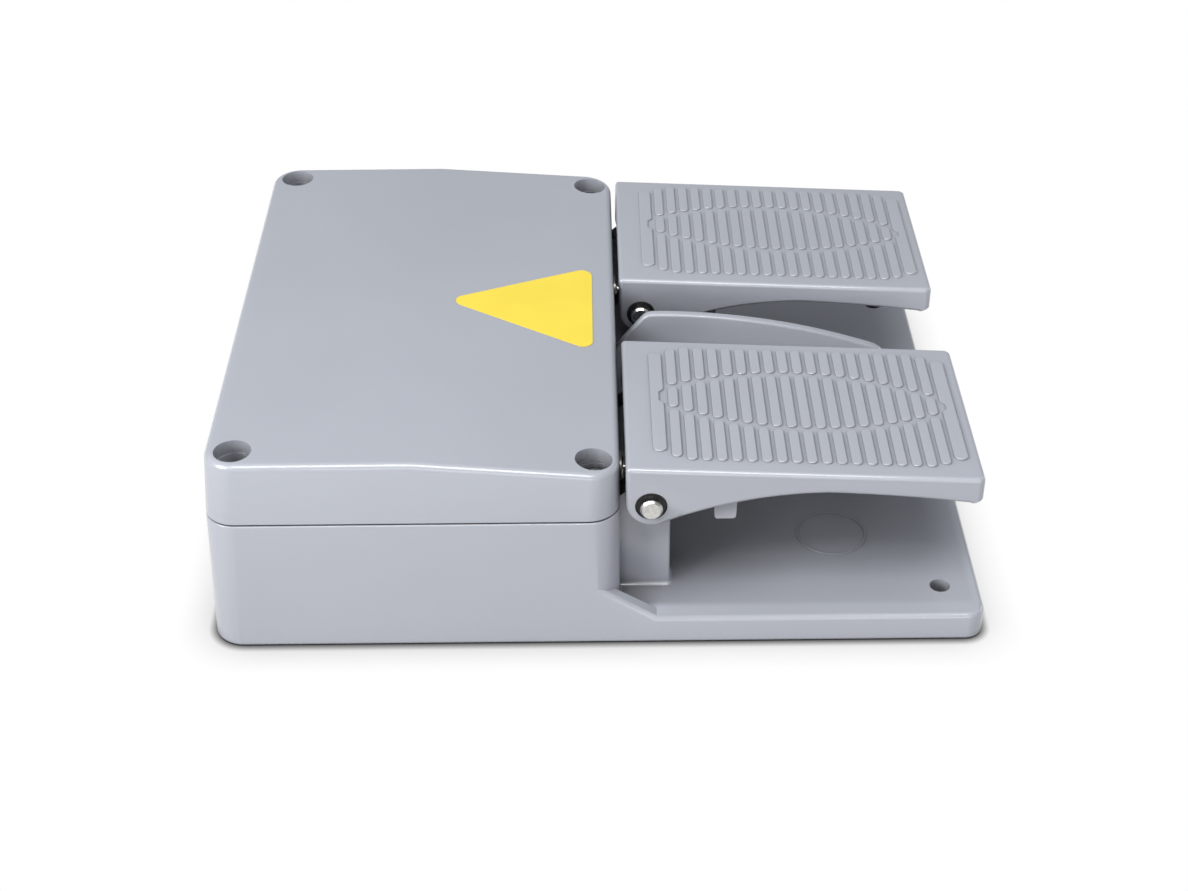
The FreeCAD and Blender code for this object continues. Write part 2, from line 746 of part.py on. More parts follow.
def base_casting():
    """Cast box with a floor plate in front of it, four hinge posts and a rib between the pedals."""
    solids = [housing_shell(), floor_plate(), middle_rib()]
    tools = []
    for side, center_y in PEDALS:
        for end, offset in (("outer", post_y), ("inner", -post_y)):
            label = f"{side}_{end}"
            y = center_y - offset if side == "near" else center_y + offset
            solids.append(hinge_post(label + "_post", y))
            tools.append(cylinder(label + "_bush_seat", "y", pivot_x, y - 0.5 * post_thickness - past, pivot_height,
                                  bush_radius + fit_gap, post_thickness + 2 * past))
        tools.append(cylinder(side + "_guide_hole", "x", cavity_front_x - past, center_y, plunger_z,
                              guide_radius + fit_gap, wall + 2 * past))
        sign = -1 if side == "near" else 1
        tools.append(cylinder(side + "_bolt_hole", "z", bolt_x, sign * bolt_y, -past,
                              bolt_hole_radius, plate_height + 2 * past))
        mark_x = tip_x - pad_mark_inset
        mark_y = sign * (pedal_center_y + pad_mark_offset)
        mark_z = plate_height - cast_root
        ring = cylinder(side + "_mark_ring", "z", mark_x, mark_y, mark_z, pad_mark_radius, cast_root + pad_mark_height)
        middle = cylinder(side + "_mark_middle", "z", mark_x, mark_y, mark_z - past,
                          pad_mark_radius - pad_mark_width, cast_root + pad_mark_height + 2 * past)
        solids.append(cut(side + "_mark", ring, [middle]))
        for end, x in (("front", screw_front_x), ("rear", screw_rear_x)):
            tools.append(cylinder(f"{side}_{end}_screw_hole", "z", x, sign * screw_y,
                                  screw_seat_z - lid_screw_length - past, lid_screw_radius + fit_gap,
                                  lid_screw_length))
        for end, x in (("front", plate_boss_front_x), ("rear", plate_boss_rear_x)):
            solids.append(cylinder(f"{side}_{end}_plate_boss", "z", x, sign * plate_boss_y, floor_height - past,
                                   plate_boss_radius, switch_plate_z - floor_height + past))
            tools.append(cylinder(f"{side}_{end}_plate_hole", "z", x, sign * plate_boss_y,
                                  switch_plate_z - plate_screw_length, plate_screw_radius + fit_gap,
                                  plate_screw_length + past))
    solids.append(cylinder("inlet_boss", "x", rear_x + 0.5 * wall, 0, inlet_height, inlet_boss_radius,
                           cavity_rear_x + inlet_boss_depth - rear_x - 0.5 * wall))
    tools.append(cylinder("inlet_hole", "x", rear_x - past, 0, inlet_height, inlet_radius,
                          cavity_rear_x + inlet_boss_depth - rear_x + 2 * past))
    solids.append(cylinder("earth_boss", "z", earth_x, earth_y, floor_height - past, earth_boss_radius,
                           earth_boss_height + past))
    tools.append(cylinder("earth_hole", "z", earth_x, earth_y, floor_height + earth_boss_height - earth_screw_length,
                          earth_screw_radius + fit_gap, earth_screw_length + past))
    casting = cut("base_casting_cut", fuse("base_casting_solids", solids), tools)
    return foot_fillets(casting)


def foot_fillets(casting):
    """Rounds the inner corners where the posts and the housing stand on the plate."""
    made = doc.addObject("Part::Fillet", "base_casting_feet")
    made.Base = casting
    nose_x = pivot_x + post_radius
    outer_y = pedal_center_y + ear_inner_y
    names = edges(casting, lambda b: b.ZLength < 0.01 and close(b.ZMax, plate_height)
                  and b.XMin > front_x.number - 0.1 and b.XMax < nose_x.number + 0.1
                  and abs(b.Center.y) < outer_y.number)
    radius = foot_fillet_radius.number
    made.Edges = [(int(name.removeprefix("Edge")), radius, radius) for name in names]
    return made


def base_pieces():
    """The one casting as five simple pieces that meet flush: its box, inlet wall, plate, hinge posts and rib."""
    casting = base_casting()
    seam_x = front_x + seam_reach
    seam_z = plate_height + seam_rise
    outer_y = pedal_center_y + ear_inner_y
    box_space = box("box_space", rear_x - past, -half_width - past, -past,
                    seam_x - rear_x + past, overall_width + 2 * past, rib_peak_height + 2 * past)
    inlet_space = box("inlet_space", rear_x - past, -inlet_wall_half_width, -past,
                      cavity_rear_x + inlet_boss_depth + inlet_seam_gap - rear_x + past, 2 * inlet_wall_half_width,
                      joint_height + 2 * past)
    pedal_space = box("pedal_space", seam_x - past, -outer_y, seam_z,
                      tip_x - seam_x + 2 * past, 2 * outer_y, rib_peak_height)
    rib_space = box("rib_space", seam_x - past, -rib_thickness, seam_z,
                    tip_x - seam_x + 2 * past, 2 * rib_thickness, rib_peak_height)
    in_front = cut("in_front_of_the_box", casting, [box_space])
    return {
        "base_box": cut("base_box_cut", common("behind_the_seam", casting, box_space), [inlet_space]),
        "base_inlet_wall": common("base_inlet_wall_cut", casting, inlet_space),
        "base_plate": cut("base_plate_cut", in_front, [pedal_space]),
        "base_posts": cut("base_posts_cut", common("above_the_plate_piece", in_front, pedal_space), [rib_space]),
        "base_rib": common("base_rib_cut", in_front, rib_space),
    }


# Lid


def lid_casting():
    """Screwed lid: a shallow cast tray, upside down, with a flat roof that slopes down to the front."""
    made = body("lid_shell")
    top_half_width = rim_half_width - lid_inset_side
    lid_bottom_z = joint_height + joint_gap
    tapered_block(made, "lid_block", rim_rear_x, front_x - rim_rear_x, rim_half_width, top_half_width,
                  lid_bottom_z, lid_ridge_height - joint_gap)
    shape = sketch(made, "above_the_roof", "XZ_Plane")
    outline(shape, [
        (rim_rear_x, lid_bottom_z),
        (rim_rear_x + lid_inset_rear, roof_rear_z),
        (lid_ridge_x, roof_ridge_z),
        (front_x, roof_front_z),
        (front_x + past, roof_front_z),
        (front_x + past, roof_ridge_z + past),
        (rim_rear_x - past, roof_ridge_z + past),
        (rim_rear_x - past, lid_bottom_z),
    ])
    roofed = pocket(made, "above_the_roof_cut", shape, overall_width, middle=True)
    upright = fillet(made, "lid_corners", roofed, lambda b: b.ZLength > 0.5 * lid_front_height.number,
                     housing_corner_radius)
    top = fillet(made, "lid_top_edge", upright,
                 lambda b: b.ZMin > roof_front_z.number - 1 and not close(b.YLength, 2 * top_half_width)
                 and not (close(b.XMin, lid_ridge_x) and close(b.XMax, lid_ridge_x)), lid_edge_radius)
    fillet(made, "lid_joint_edge", top, lambda b: close(b.ZMax, lid_bottom_z), joint_edge_radius)
    hollow = sketch(made, "under_the_roof", "XZ_Plane")
    outline(hollow, [
        (rim_rear_x + lid_inset_rear + lid_wall, joint_height - past),
        (front_x - lid_wall, joint_height - past),
        (front_x - lid_wall, roof_front_z - lid_wall),
        (lid_ridge_x, roof_ridge_z - lid_wall),
        (rim_rear_x + lid_inset_rear + lid_wall, roof_rear_z - lid_wall),
    ])
    pocket(made, "under_the_roof_cut", hollow, 2 * (top_half_width - lid_wall), middle=True)
    solids = [made]
    tools = []
    for end, x, roof_z in (("front", screw_front_x, roof_front_z), ("rear", screw_rear_x, roof_rear_z)):
        for side, y in (("near", -screw_y), ("far", screw_y)):
            label = f"{side}_{end}"
            solids.append(cylinder(label + "_lid_column", "z", x, y, lid_bottom_z, screw_column_radius,
                                   roof_z - lid_wall + 0.5 - lid_bottom_z))
            step_z = roof_z - screw_well_step_depth
            tools.append(cylinder(label + "_well", "z", x, y, step_z, screw_well_radius, 3 * screw_well_step_depth))
            tools.append(cylinder(label + "_well_step", "z", x, y, screw_seat_z, screw_well_step_radius,
                                  step_z - screw_seat_z + past))
            tools.append(cylinder(label + "_lid_hole", "z", x, y, joint_height - past,
                                  lid_screw_radius + 4 * fit_gap, lid_flange + 2 * past))
    return cut("lid_casting_cut", fuse("lid_casting_solids", solids), tools)


def lid_gasket():
    """Rubber seal in the groove of the rim, which stands out and keeps the lid's edge off the rim."""
    made = body("lid_gasket_ring")
    ring = sketch(made, "lid_gasket_outline", "XY_Plane", joint_height - gasket_height)
    gasket_outline(ring)
    pad(made, "lid_gasket_pad", ring, gasket_height + joint_gap)
    return made


def lid_screws():
    """The four screws that hold the lid down, deep in their wells."""
    return group("lid_screw_set", [
        socket_screw(f"{side}_{end}_lid_screw", x, y, screw_seat_z)
        for side, y in (("near", -screw_y), ("far", screw_y))
        for end, x in (("front", screw_front_x), ("rear", screw_rear_x))
    ])


def lid_label():
    """Blank vinyl label, a rounded triangle stuck on the sloping roof."""
    made = body("lid_label_sheet")
    slope_length = Size(math.hypot(roof_rise.number, roof_run.number),
                        f"sqrt(({roof_rise.expression})^2 + ({roof_run.expression})^2)")
    face = sketch(made, "lid_label_outline", "XY_Plane")
    base_x = (label_front_x - lid_ridge_x) * slope_length / roof_run
    outline(face, [(base_x, -0.5 * label_side), (base_x, 0.5 * label_side), (base_x - label_depth, 0)])
    sheet_pad = pad(made, "lid_label_pad", face, label_thickness)
    fillet(made, "lid_label_corners", sheet_pad, lambda b: b.ZLength > 0.1, label_corner_radius)
    made.Placement.Rotation = FreeCAD.Rotation(FreeCAD.Vector(0, 1, 0), 5)
    made.setExpression("Placement.Rotation.Angle", f"atan({roof_rise.expression} / {roof_run.expression})")
    return place(made, lid_ridge_x, 0, roof_ridge_z)


# Pedals


def deck_z(x, drop=0):
    """Height of the pedal's top face, less a drop, at a place along it."""
    return pedal_rear_height - deck_slope * (size_of(x) - pedal_rear_x) - drop


def pedal_casting(side, center_y):
    """Cast pedal: a deck with two arched side walls that end in hinge ears, and a short arm to push the switch."""
    made = body(side + "_pedal_tray")
    profile = sketch(made, side + "_pedal_side", "XZ_Plane", -center_y)
    ear_end = (pivot_x + ear_radius * cosine(ear_end_angle), pivot_height - ear_radius * sine(ear_end_angle))
    ear_bottom_left = (pivot_x - ear_radius * math.sqrt(0.5), pivot_height - ear_radius * math.sqrt(0.5))
    tip_bottom_z = pedal_tip_height - pedal_tip_depth
    arch_x = 0.5 * (pivot_x + pedal_tip_x) + arch_shift
    arch_rear_x = 0.5 * (pivot_x + arch_x) - arch_rear_shift
    arch_front_x = 0.5 * (arch_x + pedal_tip_x) - arch_front_shift
    outline(profile, [
        (pedal_rear_x, pedal_rear_height),
        (pedal_rear_x, pivot_height),
        (ear_end[0], ear_end[1], ear_bottom_left),
        (arch_x, pivot_height + arch_rise, (arch_rear_x, pivot_height + arch_rear_rise)),
        (pedal_tip_x - pedal_foot_length, tip_bottom_z, (arch_front_x, pivot_height + arch_front_rise)),
        (pedal_tip_x, tip_bottom_z + pedal_tip_rounding),
        (pedal_tip_x, pedal_tip_height),
    ])
    block = pad(made, side + "_pedal_block", profile, pedal_width, middle=True)
    corners = fillet(made, side + "_pedal_corners", block,
                     lambda b: close(b.XMin, pedal_tip_x) and close(b.XMax, pedal_tip_x) and b.ZLength > 1,
                     pedal_corner_radius)
    fillet(made, side + "_pedal_top_edge", corners,
           lambda b: b.ZMin > pedal_tip_height.number - 0.1
           or close(b.XMin, pedal_rear_x) and close(b.XMax, pedal_rear_x) and b.ZLength > 1, pedal_edge_radius)
    hollow = sketch(made, side + "_pedal_hollow", "XZ_Plane", -center_y)
    inner_tip_x = pedal_tip_x - pedal_wall
    outline(hollow, [
        (pedal_rear_x - past, pivot_height - ear_radius - past),
        (inner_tip_x, pivot_height - ear_radius - past),
        (inner_tip_x, deck_z(inner_tip_x, pedal_deck)),
        (pedal_rear_x - past, deck_z(pedal_rear_x - past, pedal_deck)),
    ])
    pocket(made, side + "_pedal_hollow_cut", hollow, 2 * ear_inner_y, middle=True)
    low_y = center_y - pedal_half_width
    high_y = center_y + pedal_half_width
    solids = [made]
    for end, y in (("low", center_y - ear_inner_y - 0.5), ("high", center_y + ear_inner_y - ear_boss_length)):
        solids.append(cylinder(f"{side}_{end}_ear_boss", "y", pivot_x, y, pivot_height,
                               ear_radius - 1, ear_boss_length + 0.5))
    hub_y = center_y - 0.5 * hub_width
    solids.append(cylinder(side + "_hub", "y", pivot_x, hub_y, pivot_height, ear_radius, hub_width))
    neck_x = pivot_x - 0.5 * ear_radius
    solids.append(box(side + "_hub_neck", neck_x, hub_y, pivot_height, 1.5 * ear_radius, hub_width,
                      deck_z(neck_x + 1.5 * ear_radius, pedal_deck) + 0.5 - pivot_height))
    solids.append(box(side + "_arm", arm_front_x, hub_y, pivot_height - arm_drop, arm_thickness, hub_width, arm_drop))
    solids.append(stop_lug(side, center_y))
    solids.append(tread(side, center_y))
    tools = [cylinder(side + "_shaft_hole", "y", pivot_x, low_y - past, pivot_height,
                      shaft_radius + fit_gap, pedal_width + 2 * past)]
    for end, y in (("low", low_y - past), ("high", high_y - circlip_seat_depth)):
        tools.append(cylinder(f"{side}_{end}_circlip_seat", "y", pivot_x, y, pivot_height,
                              circlip_seat_radius, circlip_seat_depth + past))
    return cut(side + "_pedal_cut", fuse(side + "_pedal_solids", solids), tools)


def stop_lug(side, center_y):
    """Short tapered lug that hangs from the deck, just inside the near side wall."""
    made = body(side + "_stop_lug")
    profile = sketch(made, side + "_stop_lug_side", "XZ_Plane", -(center_y - ear_inner_y + 0.5 * lug_depth))
    low_x = pivot_x + lug_reach
    high_x = low_x + lug_width
    bottom_z = pivot_height - lug_drop
    outline(profile, [
        (low_x - lug_taper, deck_z(low_x, pedal_deck) + cast_root),
        (low_x, bottom_z),
        (high_x, bottom_z),
        (high_x + 0.5 * lug_taper, deck_z(high_x, pedal_deck) + cast_root),
    ])
    block = pad(made, side + "_stop_lug_pad", profile, lug_depth + cast_root, middle=True)
    fillet(made, side + "_stop_lug_corners", block, lambda b: close(b.ZMax, bottom_z) and b.YLength > 1, lug_taper)
    return made


def tread(side, center_y):
    """Raised bars across the deck, parted by two curved grooves that make the shape of a lens."""
    made = doc.addObject("Part::Feature", side + "_tread")
    bars = []
    middle_y = center_y.number + tread_offset.number
    for index in range(bar_count):
        x = tread_start_x.number + index * bar_pitch.number
        from_end = min(index, bar_count - 1 - index)
        setback = (end_bar_setback, second_bar_setback, size_of(0))[min(from_end, 2)].number
        half = pedal_half_width.number - tread_inset_side.number - setback
        near_curve = center_y.number + lens_curve(x, -1)
        far_curve = center_y.number + lens_curve(x, 1)
        if from_end == 0:
            inward = bar_width.number * (0.5 if index == 0 else -0.5)
            bars.append(notched_bar(x, inward, middle_y - half, middle_y + half, near_curve, far_curve))
            continue
        gap = 0.5 * lens_gap.number
        for low, high in ((middle_y - half, near_curve - gap), (near_curve + gap, far_curve - gap),
                          (far_curve + gap, middle_y + half)):
            bars.append(tread_bar(x, low, high))
    made.Shape = Part.Compound(bars)
    return made


def lens_curve(x, way):
    """Where the near (-1) or the far (1) curved groove crosses a bar, measured from the pedal's middle."""
    reach = 0.5 * (tread_end_x - tread_start_x).number
    bow = (lens_half_width - lens_tip_half_width).number
    radius = (reach ** 2 + bow ** 2) / (2 * bow)
    along = x - lens_x.number + way * lens_skew.number
    return lens_offset.number + way * (lens_half_width.number - radius + math.sqrt(radius ** 2 - along ** 2))


def tread_bar(x, low_y, high_y):
    """One bar with round ends and a soft top edge, rooted in the deck."""
    radius = 0.5 * bar_width.number
    bottom = deck_z(x).number - cast_root.number
    start_y = low_y + radius
    end_y = high_y - radius
    corners = [
        FreeCAD.Vector(x + radius, start_y, bottom),
        FreeCAD.Vector(x + radius, end_y, bottom),
        FreeCAD.Vector(x - radius, end_y, bottom),
        FreeCAD.Vector(x - radius, start_y, bottom),
    ]
    far_end = Part.Arc(corners[1], FreeCAD.Vector(x, high_y, bottom), corners[2])
    near_end = Part.Arc(corners[3], FreeCAD.Vector(x, low_y, bottom), corners[0])
    return raised_bar([
        Part.LineSegment(corners[0], corners[1]),
        far_end,
        Part.LineSegment(corners[2], corners[3]),
        near_end,
    ], bottom)


def notched_bar(x, inward, low_y, high_y, near_curve, far_curve):
    """An end bar: whole along its outer side, with a notch on its inner side where the lens's tip ends."""
    radius = abs(inward)
    bottom = deck_z(x).number - cast_root.number
    floor_x = x - inward + notch_strip.number * inward / radius
    outer_x = x - inward - end_bar_margin.number * inward / radius
    middle_x = 0.5 * (outer_x + x + inward)
    wide = min(radius, 0.5 * (high_y - low_y))
    points = [(x + inward, low_y + wide), (x + inward, near_curve), (floor_x, near_curve + wide),
              (floor_x, far_curve - wide), (x + inward, far_curve), (x + inward, high_y - wide),
              (outer_x, high_y - wide), (outer_x, low_y + wide)]
    corners = [FreeCAD.Vector(place_x, y, bottom) for place_x, y in points]
    sides = [Part.LineSegment(corners[number], corners[number + 1]) for number in (0, 1, 2, 3, 4, 6)]
    far_end = Part.Arc(corners[5], FreeCAD.Vector(middle_x, high_y, bottom), corners[6])
    near_end = Part.Arc(corners[7], FreeCAD.Vector(middle_x, low_y, bottom), corners[0])
    return raised_bar(sides[:5] + [far_end, sides[5], near_end], bottom)


def raised_bar(sides, bottom):
    """Extrudes a bar's outline and softens its top edge."""
    wire = Part.Wire([side.toShape() for side in sides])
    solid = Part.Face(wire).extrude(FreeCAD.Vector(0, 0, cast_root.number + bar_height.number))
    top = [edge for edge in solid.Edges if edge.BoundBox.ZMin > bottom + cast_root.number + 0.5 * bar_height.number]
    return solid.makeFillet(bar_edge_radius.number, top)


def hinge_shaft(side, center_y):
    """Plated steel shaft with chamfered ends and a groove near each end for a circlip."""
    half = pedal_half_width + shaft_overhang
    groove = pedal_half_width - circlip_seat_depth + running_gap
    core = shaft_radius - circlip_groove_depth
    wide = circlip_thickness + fit_gap
    return turned(side + "_hinge_shaft_turned", [
        (-half, 0),
        (half, 0),
        (half, shaft_radius - shaft_chamfer),
        (half - shaft_chamfer, shaft_radius),
        (groove + wide, shaft_radius),
        (groove + wide, core),
        (groove, core),
        (groove, shaft_radius),
        (-groove, shaft_radius),
        (-groove, core),
        (-groove - wide, core),
        (-groove - wide, shaft_radius),
        (shaft_chamfer - half, shaft_radius),
        (-half, shaft_radius - shaft_chamfer),
    ], "y", pivot_x, center_y, pivot_height)


def circlips(side, center_y):
    """Two blackened spring rings that keep the shaft in the ears."""
    rings = []
    inner = shaft_radius - circlip_groove_depth + fit_gap
    groove = pedal_half_width - circlip_seat_depth + running_gap + 0.5 * fit_gap
    for end, y in (("low", center_y - groove - circlip_thickness), ("high", center_y + groove)):
        label = f"{side}_{end}_circlip"
        blank = cylinder(label + "_blank", "y", pivot_x, y, pivot_height, circlip_radius, circlip_thickness)
        hole = cylinder(label + "_hole", "y", pivot_x, y - past, pivot_height, inner, circlip_thickness + 2 * past)
        mouth = box(label + "_mouth", pivot_x - 1.2, y - past, pivot_height - 2 * circlip_radius,
                    2.4, circlip_thickness + 2 * past, 2 * circlip_radius)
        rings.append(cut(label, blank, [hole, mouth]))
    return group(side + "_circlip_set", rings)


def bushes(side, center_y):
    """Two plain bronze bushes, one in each post."""
    rings = []
    for end, offset in (("low", -post_y), ("high", post_y)):
        half = 0.5 * post_thickness
        inner = shaft_radius + fit_gap
        rings.append(turned(f"{side}_{end}_bush", [
            (-half, inner),
            (half, inner),
            (half, bush_radius - 0.4),
            (half - 0.4, bush_radius),
            (0.4 - half, bush_radius),
            (-half, bush_radius - 0.4),
        ], "y", pivot_x, center_y + offset, pivot_height))
    return group(side + "_bush_set", rings)


# Torsion springs


def arc_between(start, tangent, end):
    """The arc that leaves start along tangent and reaches end."""
    chord = end - start
    along = FreeCAD.Vector(chord).normalize()
    cosine_half = tangent.dot(along)
    side = tangent - along * cosine_half
    if side.Length < 1e-9:
        return Part.LineSegment(start, end).toShape()
    half_turn = math.acos(max(-1, min(1, cosine_half)))
    middle = (start + end) * 0.5 + side.normalize() * (chord.Length / 2 * math.tan(half_turn / 2))
    return Part.Arc(start, middle, end).toShape()


def biarc(start, tangent_start, end, tangent_end):
    """Two arcs that join start to end, smooth with the tangents at both."""
    span = end - start
    both = tangent_start + tangent_end
    spread = 2 * (1 - tangent_start.dot(tangent_end))
    reach = span.dot(both)
    if spread < 1e-9:
        distance = span.dot(span) / (2 * reach)
    else:
        distance = (math.sqrt(reach ** 2 + spread * span.dot(span)) - reach) / spread
    joint = (start + end + (tangent_start - tangent_end) * distance) * 0.5
    return [arc_between(start, tangent_start, joint), reversed_arc(end, tangent_end, joint)]


def reversed_arc(end, tangent_end, joint):
    """The arc from joint that arrives at end along tangent_end."""
    return arc_between(end, tangent_end * -1, joint)


def torsion_spring(side, center_y):
    """Wire spring wound on the shaft: one leg under the deck, the other against the housing wall."""
    radius = spring_coil_radius.number
    wire = spring_wire_radius.number
    rise = spring_pitch.number / (2 * math.pi)
    axis_x, axis_z = pivot_x.number, pivot_height.number
    first_y = (center_y - post_y + 0.5 * post_thickness).number + wire + 2.2
    deck_x = axis_x + spring_deck_reach.number
    deck_end = (deck_x - axis_x, deck_z(deck_x, pedal_deck).number - wire - running_gap.number - axis_z)
    wall_end = (front_x.number + wire + running_gap.number - axis_x, -spring_wall_drop.number)
    start_angle = math.atan2(deck_end[1], deck_end[0]) + math.acos(radius / math.hypot(*deck_end))
    end_angle = math.atan2(wall_end[1], wall_end[0]) - math.acos(radius / math.hypot(*wall_end))
    turn = (end_angle - start_angle) % (2 * math.pi) + 2 * math.pi * spring_turns.number

    def point(angle):
        return FreeCAD.Vector(axis_x + radius * math.cos(angle), first_y + rise * (angle - start_angle),
                              axis_z + radius * math.sin(angle))

    def direction(angle):
        return FreeCAD.Vector(-radius * math.sin(angle), rise, radius * math.cos(angle)).normalize()

    steps = math.ceil(turn / (math.pi / 2))
    angles = [start_angle + turn * step / steps for step in range(steps + 1)]
    deck_length = math.sqrt(deck_end[0] ** 2 + deck_end[1] ** 2 - radius ** 2)
    wall_length = math.sqrt(wall_end[0] ** 2 + wall_end[1] ** 2 - radius ** 2)
    path = [Part.LineSegment(point(start_angle) - direction(start_angle) * deck_length, point(start_angle)).toShape()]
    for low, high in zip(angles, angles[1:]):
        path += biarc(point(low), direction(low), point(high), direction(high))
    path.append(Part.LineSegment(point(angles[-1]),
                                 point(angles[-1]) + direction(angles[-1]) * wall_length).toShape())
    spine = Part.Wire(Part.__sortEdges__(path))
    tip = point(start_angle) - direction(start_angle) * deck_length
    section = Part.Wire(Part.Circle(tip, direction(start_angle), wire).toShape())
    made = doc.addObject("Part::Feature", side + "_torsion_spring")
    made.Shape = spine.makePipeShell([section], True, False)
    expected = math.pi * wire ** 2 * spine.Length
    print(f"{made.Label}: volume {made.Shape.Volume:.1f} of {expected:.1f} mm3, "
          f"least gap between turns {spring_pitch.number * math.cos(math.atan(rise / radius)) - 2 * wire:.2f} mm")
    return made


# Plungers


def guide_bush(side, center_y):
    """Brass guide through the front wall, with a seat for the wiper seal in its flange."""
    bore = plunger_radius + fit_gap
    return turned(side + "_guide_bush_turned", [
        (guide_end_x - front_x, bore),
        (guide_flange_thickness - seal_length, bore),
        (guide_flange_thickness - seal_length, seal_radius + fit_gap),
        (guide_flange_thickness, seal_radius + fit_gap),
        (guide_flange_thickness, guide_flange_radius - 0.4),
        (guide_flange_thickness - 0.4, guide_flange_radius),
        (0, guide_flange_radius),
        (0, guide_radius),
        (guide_end_x - front_x, guide_radius),
    ], "x", front_x, center_y, plunger_z)


def guide_nut(side, center_y):
    """Hexagon nut that clamps the guide from inside the housing."""
    blank = hexagon(side + "_guide_nut_blank", "x", cavity_front_x - guide_nut_thickness, center_y, plunger_z,
                    guide_nut_across_flats, guide_nut_thickness)
    hole = cylinder(side + "_guide_nut_hole", "x", guide_end_x, center_y, plunger_z, guide_radius + fit_gap,
                    guide_nut_thickness + 2 * past)
    return cut(side + "_guide_nut_cut", blank, [hole])


def wiper_seal(side, center_y):
    """Rubber ring that wipes the plunger."""
    inner = plunger_radius + fit_gap
    return turned(side + "_wiper_seal_turned", [
        (0, inner),
        (seal_length, inner),
        (seal_length, seal_radius),
        (0, seal_radius),
    ], "x", guide_front_x - seal_length, center_y, plunger_z)


def plunger(side, center_y):
    """Steel pin that carries the push of the pedal's arm through the wall to the switch."""
    clip_back = clip_x - clip_thickness - fit_gap
    core = plunger_radius - 0.5
    dome_edge_x = plunger_tip_x - plunger_dome_depth
    return turned(side + "_plunger_turned", [
        (plunger_end_x, 0),
        (plunger_tip_x, 0),
        (dome_edge_x, plunger_head_radius, (plunger_tip_x - 0.26 * plunger_dome_depth, 0.52 * plunger_head_radius)),
        (plunger_head_back_x, plunger_head_radius),
        (plunger_head_back_x, plunger_radius),
        (clip_x, plunger_radius),
        (clip_x, core),
        (clip_back, core),
        (clip_back, plunger_radius),
        (plunger_end_x, plunger_radius),
    ], "x", 0, center_y, plunger_z)


def plunger_clip(side, center_y):
    """Spring clip that keeps the plunger from falling out of its guide."""
    back = clip_x - clip_thickness - 0.5 * fit_gap
    blank = cylinder(side + "_clip_blank", "x", back, center_y, plunger_z, clip_radius, clip_thickness)
    hole = cylinder(side + "_clip_hole", "x", back - past, center_y, plunger_z,
                    plunger_radius - 0.5 + fit_gap, clip_thickness + 2 * past)
    mouth = box(side + "_clip_mouth", back - past, center_y - 1.2, plunger_z - 2 * clip_radius,
                clip_thickness + 2 * past, 2.4, 2 * clip_radius)
    return cut(side + "_plunger_clip_cut", blank, [hole, mouth])


# Switches


def switch_case(side, center_y):
    """Moulded body of the switch, open at the front, with two holes for its screws."""
    cover_back_x = switch_front_x - switch_cover_thickness
    blank = box(side + "_case_blank", switch_back_x, center_y - 0.5 * switch_length, switch_bottom_z,
                cover_back_x - switch_back_x, switch_length, switch_thickness)
    chamber_width = switch_screw_spacing - 2 * switch_screw_radius - 2 * switch_wall
    chamber = box(side + "_case_chamber", switch_back_x + switch_wall, center_y - 0.5 * chamber_width,
                  switch_bottom_z + switch_wall, switch_depth, chamber_width, switch_thickness - 2 * switch_wall)
    tools = [chamber]
    for end, offset in (("low", -0.5 * switch_screw_spacing), ("high", 0.5 * switch_screw_spacing)):
        tools.append(cylinder(f"{side}_{end}_case_hole", "z", switch_screw_x, center_y + offset,
                              switch_bottom_z - past, switch_screw_radius + fit_gap, switch_thickness + 2 * past))
    return cut(side + "_switch_case_cut", blank, tools)


def switch_cover(side, center_y):
    """Front cover of the switch, with the hole that guides the button."""
    cover_back_x = switch_front_x - switch_cover_thickness
    blank = box(side + "_cover_blank", cover_back_x, center_y - 0.5 * switch_length, switch_bottom_z,
                switch_cover_thickness, switch_length, switch_thickness)
    hole = cylinder(side + "_cover_hole", "x", cover_back_x - past, center_y, plunger_z,
                    button_radius + fit_gap, switch_cover_thickness + 2 * past)
    return cut(side + "_switch_cover_cut", blank, [hole])


def switch_button(side, center_y):
    """Moulded button with a collar behind the cover."""
    collar = switch_front_x - switch_cover_thickness - running_gap
    end = collar - button_collar_length
    return turned(side + "_switch_button_turned", [
        (end, 0),
        (button_tip_x, 0),
        (button_tip_x, button_radius - 0.6),
        (button_tip_x - 0.6, button_radius),
        (collar, button_radius),
        (collar, button_radius + 1),
        (end, button_radius + 1),
    ], "x", 0, center_y, plunger_z)


def contact_blade(side, center_y):
    """Spring blade across the chamber, which the button bends at the end of its travel."""
    end = switch_front_x - switch_cover_thickness - running_gap - button_collar_length
    width = switch_screw_spacing - 2 * switch_screw_radius - 2 * switch_wall
    return box(side + "_contact_blade_strip", end - plunger_travel - running_gap - blade_thickness,
               center_y - 0.5 * width, plunger_z - 0.5 * blade_width, blade_thickness, width, blade_width)


def terminals(side, center_y):
    """Three brass tabs at the back of the switch, each with a hole for its screw."""
    tabs = []
    for number in (-1, 0, 1):
        label = f"{side}_terminal_{number + 2}"
        y = center_y + number * terminal_spacing
        blank = box(label + "_blank", switch_back_x - terminal_length, y - 0.5 * terminal_width,
                    plunger_z - 0.5 * terminal_thickness, terminal_length, terminal_width, terminal_thickness)
        hole = cylinder(label + "_hole", "z", switch_back_x - 0.5 * terminal_length, y, plunger_z - past,
                        terminal_screw_radius + fit_gap, terminal_thickness + 2 * past)
        tabs.append(cut(label, blank, [hole]))
    return group(side + "_terminal_set", tabs)


def terminal_screws(side, center_y):
    """The screws of the three tabs."""
    return group(side + "_terminal_screw_set", [
        pan_screw(f"{side}_terminal_screw_{number + 2}", switch_back_x - 0.5 * terminal_length,
                  center_y + number * terminal_spacing, plunger_z + 0.5 * terminal_thickness,
                  terminal_screw_radius, terminal_screw_length)
        for number in (-1, 0, 1)
    ])


